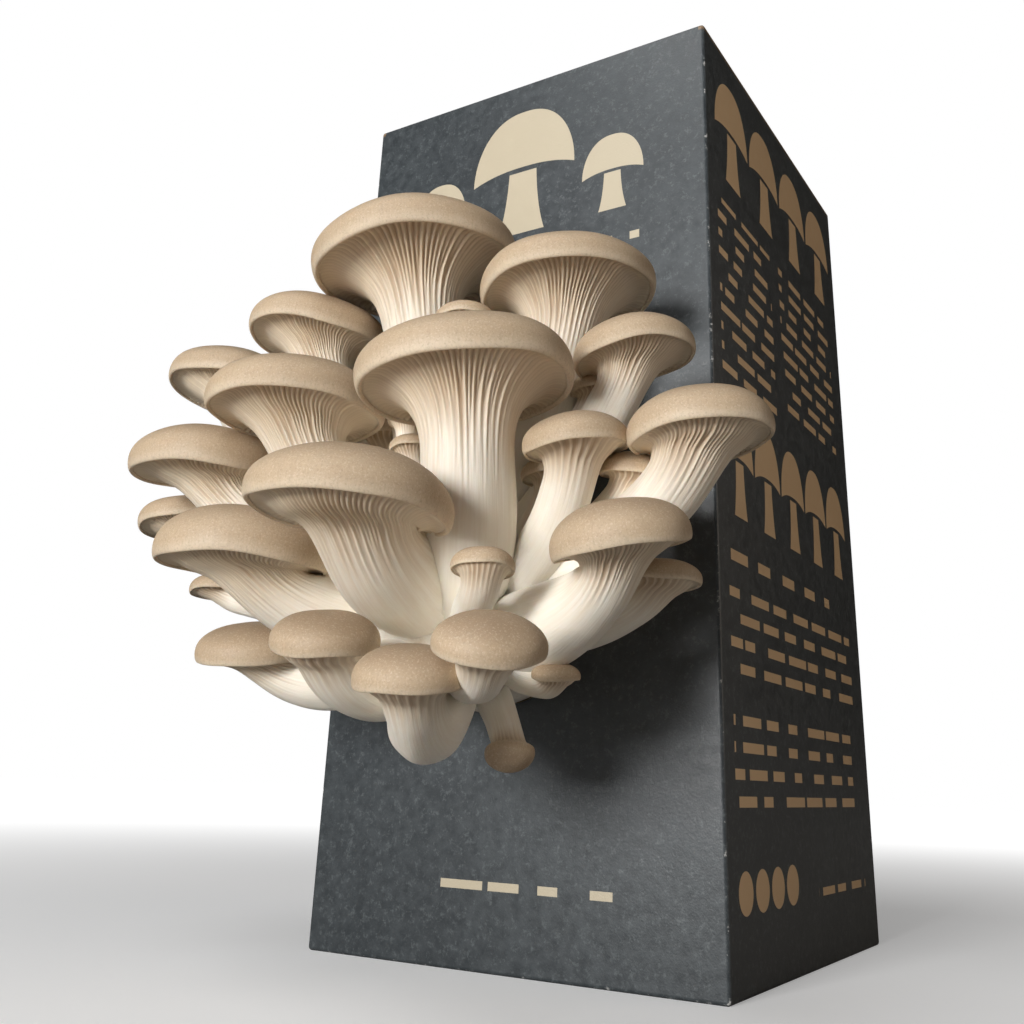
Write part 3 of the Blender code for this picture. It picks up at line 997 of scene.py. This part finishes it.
@dataclass(frozen=True)
class Stem:
    """A trumpet of gills that runs down into a curved stalk.

    The gills stand deepest towards open_side and opposite to it, and are shallow between.
    """

    mushroom: Mushroom
    heart: tuple[float, float, float]
    seat: float = 0.085
    top_radius: float = 0.935
    apron_radius: float = 0.76
    flare_length: float = 0.20
    foot_depth: float = 12 * MM
    gill_depth: float = 0.050
    open_side: tuple[float, float, float] = (0.37, -0.93, 0.0)

    def curve(self) -> np.ndarray:
        """The centre line's shape.

        Returns:
            Its four control points, from under the cap to the heart.
        """
        mushroom = self.mushroom
        axis, radius = mushroom.axis(), mushroom.reach
        heart = np.array(self.heart)
        top = mushroom.centre + axis * (self.seat * radius)
        inward = unit(heart - top)
        start = unit(-axis * (1 - mushroom.slant) + inward * mushroom.slant)
        below = top + start * ((mushroom.drop + 0.3) * radius)
        out = unit(below - heart)
        foot = heart + out * self.foot_depth
        hang = np.array((0, 0, mushroom.sag * MM))
        turn = foot + out * (0.4 * np.linalg.norm(below - heart)) - hang
        return np.array((top, top + start * (mushroom.drop * radius), turn, foot))

    def centre_line(self) -> tuple[np.ndarray, np.ndarray]:
        """The centre line.

        Returns:
            Its points, and their distances from its top along it.
        """
        t = np.linspace(0, 1, 400)[:, None]
        a, b, c, d = self.curve()
        line = a * (1 - t) ** 3 + b * 3 * (1 - t) ** 2 * t + c * 3 * (1 - t) * t**2 + d * t**3
        steps = np.linalg.norm(np.diff(line, axis=0), axis=1)
        return line, np.concatenate(((0,), np.cumsum(steps)))

    def width(self, distance: np.ndarray, length: float) -> np.ndarray:
        """The trumpet and the stalk below it.

        Args:
            distance: Distances below the stem's top, in metres.
            length: Length of the stem, in metres.

        Returns:
            Radius of the stem at each distance, in metres.
        """
        mushroom = self.mushroom
        radius = mushroom.reach
        neck = mushroom.neck * radius
        flare = (self.top_radius * radius - neck) * np.exp(-distance / (self.flare_length * radius))
        half_way = np.minimum(1.0, 0.8 * distance / length)
        swell = (mushroom.belly - mushroom.neck) * radius * np.sin(math.pi * half_way) ** 2
        return neck + flare + swell

    def apron(self) -> tuple[np.ndarray, np.ndarray]:
        """The underside from the lip in to where the trumpet starts.

        Returns:
            Radius of each of its points, and its depth below the stem's top, in metres.
        """
        mushroom = self.mushroom
        share = np.linspace(self.top_radius, self.apron_radius, 200)
        trumpet = -self.flare_length * np.log((share - mushroom.neck) / (self.top_radius - mushroom.neck))
        hang = ((share - self.apron_radius) / (self.top_radius - self.apron_radius)) ** 2
        return share * mushroom.reach, (trumpet + self.seat * hang) * mushroom.reach

    def profile(self, length: float) -> Profile:
        """Section of the straight stem, with rings at even steps along its surface.

        Args:
            length: Length of the stem, in metres.

        Returns:
            Radius and height of each point, from axis to axis.
        """
        reach = self.mushroom.reach
        apron_radius, apron_depth = self.apron()
        distance = np.linspace(apron_depth[-1], length, 4000)[1:]
        radius = np.concatenate((apron_radius, self.width(distance, length)))
        distance = np.concatenate((apron_depth, distance))
        steps = np.hypot(np.diff(distance), np.diff(radius))
        run = np.concatenate(((0,), np.cumsum(steps)))
        step = self.mushroom.fineness.ring_step * reach
        fine = np.arange(0, min(run[-1], 2.2 * reach), step)
        coarse = np.arange(fine[-1] + 2 * step, run[-1] - step, 2.5 * step)
        picked = np.concatenate((fine, coarse, (run[-1],)))
        rings = np.interp(picked, run, distance)
        widths = np.interp(picked, run, radius)
        points = list(zip(widths.tolist(), (-rings).tolist()))
        lid = 0.02 * reach
        return [(0.0, lid), (0.8 * reach, lid), *points, (0.0, -length)]

    def frames(self, line: np.ndarray, run: np.ndarray) -> tuple[np.ndarray, np.ndarray, np.ndarray]:
        """Carries the cap's own directions down the stem, without twisting them.

        Args:
            line: Points of the centre line.
            run: Their distances from its top.

        Returns:
            Direction of the stem and two directions square to it, at each point.
        """
        mushroom = self.mushroom
        down = -mushroom.axis()
        heading = unit(np.gradient(line, axis=0))
        tilt = np.clip((run / mushroom.reach - 0.1) / 0.9, 0, 1)[:, None]
        direction = unit(down * (1 - tilt) + heading * tilt)
        side, other = (Vector(vector) for vector in mushroom.across())
        before = Vector(down)
        sides, others = [], []
        for row in direction:
            after = Vector(row)
            turn = before.rotation_difference(after)
            side.rotate(turn)
            other.rotate(turn)
            before = after
            sides.append(tuple(side))
            others.append(tuple(other))
        return direction, np.array(sides), np.array(others)

    def gill_height(self, step: np.ndarray, depth: np.ndarray) -> tuple[np.ndarray, np.ndarray]:
        """Height of the gills over their valleys.

        Args:
            step: Number of each point round the stem.
            depth: Distance of each point below the rim, as a share of the cap's radius.

        Returns:
            The height of each point, from 0 to 1, and how far the gills fade there.
        """
        fineness = self.mushroom.fineness
        per_gill = fineness.points_per_gill
        gill = np.floor_divide(step + per_gill // 2, per_gill) % fineness.gills
        phase = (step + per_gill // 2) % per_gill - per_gill // 2
        chance = np.modf(np.abs(np.sin(gill * 12.9898 + self.mushroom.seed) * 43758.5453))[0]
        half_gill = np.floor_divide(step, per_gill) % fineness.gills
        other_chance = np.modf(np.abs(np.sin(half_gill * 78.233 + self.mushroom.seed) * 24634.6345))[0]
        sharp = 1 + 2.2 * (1 - ease(depth, 0.2, 0.8))
        main = (0.5 + 0.5 * np.cos(TURN * phase / per_gill)) ** sharp
        main = main * (0.65 + 0.35 * chance)
        between = (0.5 - 0.5 * np.cos(TURN * phase / per_gill)) ** sharp
        short = 1 - ease(depth, 0.12 + 0.25 * other_chance, 0.28 + 0.35 * other_chance)
        between = between * short * (0.55 + 0.3 * other_chance) * (per_gill > 4)
        end = 0.62 + 0.55 * chance
        fade = 1 - np.clip((depth - 0.2) / (end - 0.2), 0, 1) ** 0.9
        return np.maximum(main, between), fade

    def build(self, material: bpy.types.Material) -> bpy.types.Object:
        """Models the stem and dresses it.

        Args:
            material: The flesh.

        Returns:
            The stem.
        """
        mushroom = self.mushroom
        fineness = mushroom.fineness
        line, run = self.centre_line()
        around = fineness.gills * fineness.points_per_gill
        piece = lathe(f"flesh_stem_{mushroom.name}", self.profile(run[-1]), around)
        points = points_of(piece)
        distance = -points[:, 2]
        out = np.hypot(points[:, 0], points[:, 1])
        angle = np.arctan2(points[:, 1], points[:, 0])
        step = np.round(angle / TURN * around).astype(int) % around
        depth = distance / mushroom.reach
        direction, sides, others = self.frames(line, run)
        near = np.clip(np.searchsorted(run, distance), 0, len(run) - 1)
        place = np.stack([np.interp(distance, run, line[:, k]) for k in range(3)], axis=1)
        fade_round = np.clip(1 - depth, 0, 1)
        uneven = 1 + (mushroom.wobble(angle) - 1) * fade_round
        uneven += self.bulges(angle, depth) * ease(depth, 0.3, 1.2)
        share = out / mushroom.reach
        under_lip = 1 - ease(depth, 0.15, 0.40)
        straight = (ease(share, 0.5, self.apron_radius) * under_lip)[:, None]
        place = place * (1 - straight) + (line[0] - distance[:, None] * mushroom.axis()) * straight
        lift = mushroom.ripple(angle) * share**3 * mushroom.reach * under_lip
        place = place - direction[near] * lift[:, None]
        flat = sides[near] * np.cos(angle)[:, None] + others[near] * np.sin(angle)[:, None]
        move_points(piece, place + flat * (out * uneven)[:, None])
        face_outwards(piece)
        height, fade = self.gill_height(step, depth)
        facing = 0.22 + 0.78 * (flat @ np.array(self.open_side)) ** 2
        fade = fade * facing
        shoulder = 1 - 0.7 * ease(share, 0.88, self.top_radius)
        relief = self.gill_depth * mushroom.reach * fade**1.3 * shoulder
        shift = (height - 0.55) * relief * (distance > 0) * (distance < run[-1])
        move_points(piece, points_of(piece) + normals_of(piece) * shift[:, None])
        # Share of painted shade: highest in the gill valleys, and fading out as the gills fade.
        add_attribute(piece, "painted_gill_shade", (1 - height) * fade * shoulder)
        add_attribute(piece, "along", depth)
        width_mm = np.stack((np.cos(angle), np.sin(angle)), axis=1) + mushroom.seed
        add_attribute(piece, "grain", np.column_stack((width_mm, distance / MM)))
        dress(piece, material)
        return piece

    def bulges(self, angle: np.ndarray, depth: np.ndarray) -> np.ndarray:
        """Slow swellings of the stalk.

        Args:
            angle: Angle of each point about the centre line.
            depth: Distance of each point below the rim, as a share of the cap's radius.

        Returns:
            How far each point stands out, as a share of the stalk's radius.
        """
        seed = self.mushroom.seed
        lumps = 0.035 * np.sin(2 * angle + 0.9 * depth + seed)
        lumps += 0.022 * np.sin(3 * angle - 1.7 * depth + 2 * seed)
        lumps += 0.010 * np.sin(7 * angle + 0.4 * depth + 3 * seed)
        return lumps + 0.02 * np.sin(2.6 * depth + seed)


@dataclass(frozen=True)
class Foot:
    """The fused foot of the cluster, which comes out of the window."""

    front: float
    height: float
    profile_mm: tuple[tuple[float, float], ...] = (
        (-3.3, 16.0),
        (0.0, 17.4),
        (10.0, 18.5),
        (22.0, 20.0),
        (34.0, 19.5),
        (44.0, 15.0),
        (50.0, 8.0),
    )

    def build(self, material: bpy.types.Material) -> bpy.types.Object:
        """Models the foot and stands it for its solid.

        Args:
            material: The threads that cover it.

        Returns:
            The foot.
        """
        knots = np.array(self.profile_mm)
        depth = np.linspace(knots[0, 0], knots[-1, 0] + 2, 60)
        radius = np.interp(depth, knots[:, 0], knots[:, 1], right=5.0)
        points = list(zip((radius * MM).tolist(), (depth * MM).tolist()))
        profile = [(0.0, points[0][1]), *points, (0.0, points[-1][1])]
        piece = lathe("mycelium_foot", profile, 120)
        blank = points_of(piece)
        angle = np.arctan2(blank[:, 1], blank[:, 0])
        out, deep = np.hypot(blank[:, 0], blank[:, 1]), blank[:, 2] / MM
        fade = np.clip(deep / 10, 0, 1)
        lump = 0.05 * np.sin(3 * angle + 0.11 * deep) + 0.04 * np.sin(5 * angle - 0.2 * deep)
        lump += 0.03 * np.sin(11 * angle + 0.5 * deep) + 0.02 * np.sin(17 * angle - 0.9 * deep)
        out = out * (1 + lump * fade)
        placed = np.stack(
            (out * np.cos(angle), self.front - blank[:, 2], self.height + out * np.sin(angle)), axis=1
        )
        move_points(piece, placed)
        face_outwards(piece)
        dress(piece, material)
        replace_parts(piece, "cluster_base")
        return piece


@dataclass(frozen=True)
class Cluster:
    """All that grows out of the window."""

    front: float
    height: float
    mushrooms: tuple[Mushroom, ...]
    buttons: tuple[Mushroom, ...]
    heart_depth: float = 24 * MM

    def build(self) -> None:
        """Models the foot, and the cap and the stem of each mushroom."""
        skin = CapSkin().material()
        flesh = StemFlesh().material()
        threads = Mycelium("white_threads", (0.82, 0.77, 0.68), (0.66, 0.55, 0.42), 0.85)
        Foot(self.front, self.height).build(threads.material())
        heart = (0.0, self.front - self.heart_depth, self.height)
        for mushroom in self.mushrooms:
            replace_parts(Cap(mushroom).build(skin), f"cap_{mushroom.name}")
            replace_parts(Stem(mushroom, heart).build(flesh), f"stem_{mushroom.name}")
        for button in self.buttons:
            Cap(button).build(skin)
            Stem(button, heart).build(flesh)


# Carton


@dataclass(frozen=True)
class Carton:
    """The folded carton: walls in one piece, with a lid and a bottom flap."""

    width: float
    depth: float
    height: float
    window_width: float = 35 * MM
    window_height: float = 35 * MM
    window_corner: float = 16.5 * MM
    window_z: float = 79 * MM
    board: float = 1.5 * MM
    fold: float = 1.0 * MM

    def build(self) -> None:
        """Models the carton and stands it for its solid."""
        material = PrintedBoard(self.width, self.depth, self.height).material()
        piece = self.shell()
        self.cut_window(piece)
        dress(piece, material)
        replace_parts(piece, "carton")

    def shell(self) -> bpy.types.Object:
        """The closed box of board, with its folds rounded.

        Returns:
            The box.
        """
        bpy.ops.object.select_all(action="DESELECT")
        bpy.ops.mesh.primitive_cube_add(size=1, location=(0, 0, self.height / 2))
        piece = bpy.context.object
        piece.name = "printed_carton"
        piece.scale = (self.width, self.depth, self.height)
        bpy.ops.object.transform_apply(location=True, rotation=True, scale=True)
        bpy.ops.object.mode_set(mode="EDIT")
        bpy.ops.mesh.select_all(action="SELECT")
        bpy.ops.mesh.bevel(offset=self.fold, segments=4, affect="EDGES")
        bpy.ops.object.mode_set(mode="OBJECT")
        return piece

    def cut_window(self, piece: bpy.types.Object) -> None:
        """Hollows the box and cuts the window in its front.

        Args:
            piece: The box.
        """
        inner = self.cutter_box("hollow")
        window = self.cutter_window()
        for cutter in (inner, window):
            modifier = piece.modifiers.new(cutter.name, "BOOLEAN")
            modifier.object = cutter
            modifier.solver = "EXACT"
            bpy.ops.object.select_all(action="DESELECT")
            piece.select_set(True)
            bpy.context.view_layer.objects.active = piece
            bpy.ops.object.modifier_apply(modifier=modifier.name)
            bpy.data.objects.remove(cutter)
        bpy.ops.object.shade_smooth_by_angle(angle=math.radians(35))

    def cutter_box(self, name: str) -> bpy.types.Object:
        """The inside of the carton.

        Args:
            name: Name of the cutter.

        Returns:
            The cutter.
        """
        bpy.ops.object.select_all(action="DESELECT")
        bpy.ops.mesh.primitive_cube_add(size=1, location=(0, 0, self.height / 2))
        box = bpy.context.object
        box.name = name
        sizes = (self.width, self.depth, self.height)
        box.scale = tuple(size - 2 * self.board for size in sizes)
        bpy.ops.object.transform_apply(location=True, rotation=True, scale=True)
        return box

    def cutter_window(self) -> bpy.types.Object:
        """A plug with the window's outline.

        Returns:
            The cutter.
        """
        bpy.ops.object.select_all(action="DESELECT")
        centre = (0, -self.depth / 2, self.window_z)
        bpy.ops.mesh.primitive_cube_add(size=1, location=centre)
        plug = bpy.context.object
        plug.name = "window_plug"
        plug.scale = (self.window_width, 10 * MM, self.window_height)
        bpy.ops.object.transform_apply(location=True, rotation=True, scale=True)
        bpy.ops.object.mode_set(mode="EDIT")
        bpy.ops.mesh.select_mode(type="EDGE")
        bpy.ops.mesh.select_all(action="DESELECT")
        bpy.ops.object.mode_set(mode="OBJECT")
        corners = plug.data.vertices
        for edge in plug.data.edges:
            start, end = (corners[index].co for index in edge.vertices)
            edge.select = abs(start.y - end.y) > MM
        bpy.ops.object.mode_set(mode="EDIT")
        bpy.ops.mesh.bevel(offset=self.window_corner, segments=8, affect="EDGES")
        bpy.ops.object.mode_set(mode="OBJECT")
        return plug


# Studio


@dataclass(frozen=True)
class View:
    """The photograph's place and lens, for a square picture."""

    place: tuple[float, float, float] = (0.151, -0.2995, 0.0428)
    yaw: float = -31.24
    pitch: float = 19.78
    roll: float = -1.81
    focal_px: float = 1065.0
    centre_px: tuple[float, float] = (538.0, 400.4)
    picture_px: int = 1024
    sensor_mm: float = 36.0

    def build(self) -> None:
        """Adds the camera and looks through it."""
        yaw, pitch, roll = (math.radians(angle) for angle in (self.yaw, self.pitch, self.roll))
        level = math.cos(pitch)
        forward = Vector((math.sin(yaw) * level, math.cos(yaw) * level, math.sin(pitch)))
        right = Vector((math.cos(yaw), -math.sin(yaw), 0))
        down = forward.cross(right)
        turned_right = right * math.cos(roll) + down * math.sin(roll)
        turned_down = down * math.cos(roll) - right * math.sin(roll)
        columns = Matrix((turned_right, -turned_down, -forward)).transposed()
        bpy.ops.object.camera_add()
        camera = bpy.context.object
        camera.name = "photo_camera"
        camera.matrix_world = Matrix.Translation(self.place) @ columns.to_4x4()
        camera.data.sensor_width = self.sensor_mm
        camera.data.lens = self.sensor_mm * self.focal_px / self.picture_px
        middle = self.picture_px / 2
        camera.data.shift_x = (middle - self.centre_px[0]) / self.picture_px
        camera.data.shift_y = (self.centre_px[1] - middle) / self.picture_px
        camera.data.clip_start = 10 * MM
        bpy.context.scene.camera = camera


@dataclass(frozen=True)
class SoftLight:
    """One rectangular lamp with a soft face."""

    name: str
    place: tuple[float, float, float]
    target: tuple[float, float, float]
    width: float
    height: float
    power: float
    colour: Colour = (1.0, 1.0, 1.0)

    def build(self) -> None:
        """Adds the lamp and turns it to its target."""
        bpy.ops.object.light_add(type="AREA", location=self.place)
        lamp = bpy.context.object
        lamp.name = self.name
        aim = Vector(self.target) - Vector(self.place)
        lamp.rotation_euler = aim.to_track_quat("-Z", "Y").to_euler()
        lamp.data.shape = "RECTANGLE"
        lamp.data.size = self.width
        lamp.data.size_y = self.height
        lamp.data.energy = self.power
        lamp.data.color = self.colour


@dataclass(frozen=True)
class Studio:
    """Pale floor, white surroundings and soft lamps."""

    floor_size: float = 8.0
    room: float = 0.015

    def build(self) -> None:
        """Adds the floor, the surroundings, the lamps and the camera."""
        bpy.ops.object.select_all(action="DESELECT")
        bpy.ops.mesh.primitive_plane_add(size=self.floor_size)
        floor = bpy.context.object
        floor.name = "studio_floor"
        floor.data.materials.append(self.floor_paint())
        self.surroundings()
        middle = (0.0, -0.08, 0.12)
        warm = (1.0, 0.86, 0.72)
        SoftLight("key_lamp", (-0.04, -1.25, 0.24), middle, 0.30, 0.34, 14.0).build()
        SoftLight("top_lamp", (-0.10, -0.75, 1.30), middle, 0.60, 0.60, 4.6).build()
        SoftLight("side_lamp", (1.20, 0.45, 0.40), middle, 0.70, 0.70, 2.3, warm).build()
        View().build()
        scene = bpy.context.scene
        scene.view_settings.view_transform = "Standard"

    def floor_paint(self) -> bpy.types.Material:
        """Returns:
            The material.
        """
        shader = Shader("pale_floor", 0.9)
        place = shader.place()
        away = shader.node("VectorMath", operation="LENGTH")
        shader.feed(away.inputs[0], place)
        far = shader.spread(away.outputs["Value"], 0.10, 1.0, 0.30, 1.0)
        seen = shader.node("LightPath").outputs["Is Camera Ray"]
        # Painted light: seen by the camera, the floor glows faintly near the carton and at full white
        # further out.
        shader.surface.inputs["Emission Color"].default_value = (1, 1, 1, 1)
        shader.feed(shader.surface.inputs["Emission Strength"], shader.maths("MULTIPLY", far, seen))
        cloud = shader.noise(place, 3, 2)
        colour = shader.mix(shader.spread(cloud, 0, 1, 0, 0.2), (0.75, 0.75, 0.75), (0.72, 0.72, 0.72))
        near = shader.mix(shader.spread(away.outputs["Value"], 0.2, 0.6), (0.35, 0.33, 0.31), colour)
        return shader.finish(shader.mix(seen, near, colour))

    def surroundings(self) -> None:
        """White all round to the eye, and dimmer as a source of light."""
        world = bpy.data.worlds.new("white_room")
        world.use_nodes = True
        bpy.context.scene.world = world
        tree = world.node_tree
        glow = tree.nodes["Background"]
        glow.inputs["Color"].default_value = (1, 1, 1, 1)
        path = tree.nodes.new("ShaderNodeLightPath")
        share = tree.nodes.new("ShaderNodeMapRange")
        share.inputs["To Min"].default_value = self.room
        share.inputs["To Max"].default_value = 1.0
        tree.links.new(path.outputs["Is Camera Ray"], share.inputs["Value"])
        tree.links.new(share.outputs["Result"], glow.inputs["Strength"])


MUSHROOMS = (
    Mushroom("01", -12, -96, 171, 28.0, 0.52, 7, 200, 0.33, 0.36, 1.0, 0.25, 0),
    Mushroom("02", 33, -92, 156, 22.0, 0.53, 6, 190, 0.36, 0.38, 1.0, 0.30, 0),
    Mushroom("03", 25, -122, 123, 23.5, 0.58, 6, 180, 0.38, 0.44, 1.4, 0.08, 0),
    Mushroom("04", 53, -96, 134, 14.0, 0.66, 9, 195, 0.38, 0.42, 1.0, 0.60, 0),
    Mushroom("05", 72, -104, 110, 15.5, 0.68, 5, 200, 0.44, 0.48, 1.2, 0.45, 2),
    Mushroom("06", -46, -95, 157, 19.5, 0.61, 7, 50, 0.33, 0.36, 0.9, 0.50, 0),
    Mushroom("07", -88, -85, 152, 20.0, 0.62, 10, 65, 0.34, 0.38, 0.8, 0.50, 2),
    Mushroom("08", -27, -120, 125, 22.0, 0.58, 2, 70, 0.36, 0.40, 0.8, 0.40, 0),
    Mushroom("09", -63, -111, 116, 21.5, 0.60, 3, 320, 0.34, 0.38, 0.8, 0.50, 2),
    Mushroom("10", -90, -94, 109, 13.0, 0.63, 10, 175, 0.38, 0.42, 0.7, 0.50, 3),
    Mushroom("11", 12, -142, 92, 21.0, 0.61, 5, 35, 0.44, 0.55, 0.9, 0.80, -2),
    Mushroom("12", -30, -128, 87, 20.0, 0.67, 2, 15, 0.38, 0.44, 0.8, 0.60, 0),
    Mushroom("13", -68, -98, 88, 8.5, 0.58, 5, 155, 0.42, 0.46, 0.7, 0.50, 0),
    Mushroom("14", -43, -108, 69, 13.5, 0.68, 12, 290, 0.36, 0.48, 0.6, 0.50, 10),
    Mushroom("15", 4, -136, 67, 11.0, 0.67, 17, 300, 0.60, 0.74, 0.7, 0.40, 13),
    Mushroom("16", 29, -140, 59, 10.7, 0.69, 14, 295, 0.52, 0.80, 0.9, 0.42, 18),
    Mushroom("17", 47, -142, 64, 10.2, 0.68, 22, 312, 0.48, 0.50, 0.9, 0.40, 8),
    Mushroom("18", 37, -130, 81, 6.2, 0.72, 8, 120, 0.60, 0.62, 1.0, 0.10, 0),
    Mushroom("19", 47, -112, 109, 11.5, 0.68, 8, 240, 0.46, 0.52, 1.7, 0.35, 0),
    Mushroom("20", 62, -120, 85, 14.0, 0.71, 13, 247, 0.38, 0.66, 1.1, 0.45, 4),
    Mushroom("21", 60, -100, 82, 9.0, 0.56, 1, 30, 0.50, 0.64, 0.8, 0.40, 5),
    Mushroom("22", 40, -106, 63, 5.0, 0.64, 12, 296, 0.56, 0.62, 0.9, 0.30, 2),
    Mushroom("23", 34, -98, 108, 8.0, 0.62, 6, 200, 0.44, 0.48, 1.2, 0.40, 0),
    Mushroom("24", 3, -112, 115, 5.0, 0.66, 8, 200, 0.56, 0.60, 1.2, 0.30, 0),
    Mushroom("25", -2, -108, 123, 4.5, 0.60, 12, 90, 0.56, 0.60, 1.2, 0.30, 0),
    Mushroom("26", 27, -102, 49, 5.2, 0.74, 155, 305, 0.66, 0.76, 0.9, 0.10, 0),
    Mushroom("27", 11, -104, 148, 8.0, 0.58, 6, 120, 0.40, 0.44, 1.2, 0.30, 0),
)
BUTTONS = (
    Mushroom("28", 54, -98, 106, 8.0, 0.66, 8, 330, 0.50, 0.60, 1.3, 0.45, 3),
    Mushroom("29", 41, -90, 130, 7.0, 0.66, 6, 200, 0.62, 0.80, 1.2, 0.40, 0),
    Mushroom("30", -23, -90, 127, 8.5, 0.62, 6, 200, 0.60, 0.70, 1.2, 0.40, 0),
)


def dress_inner_nodes() -> None:
    """Finishes the film bag and the block, whose solids stay."""
    block = Mycelium("grown_block", (0.74, 0.69, 0.60), (0.30, 0.19, 0.10), 0.72)
    for node, material in (("grow_bag", ClearFilm().material()), ("substrate_block", block.material())):
        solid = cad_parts[node]
        for holder in solid.material_slots:
            holder.material = material
        log.info("%s: CAD solid with %s", node, material.name)


def main() -> None:
    logging.basicConfig(level=logging.INFO, format="%(name)s: %(message)s")
    low, high = (Vector(corner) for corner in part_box("carton"))
    carton = Carton(width=high.x - low.x, depth=high.y - low.y, height=high.z - low.z)
    carton.build()
    dress_inner_nodes()
    Cluster(low.y, carton.window_z, MUSHROOMS, BUTTONS).build()
    Studio().build()
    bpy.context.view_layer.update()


if __name__ == "__main__":
    main()
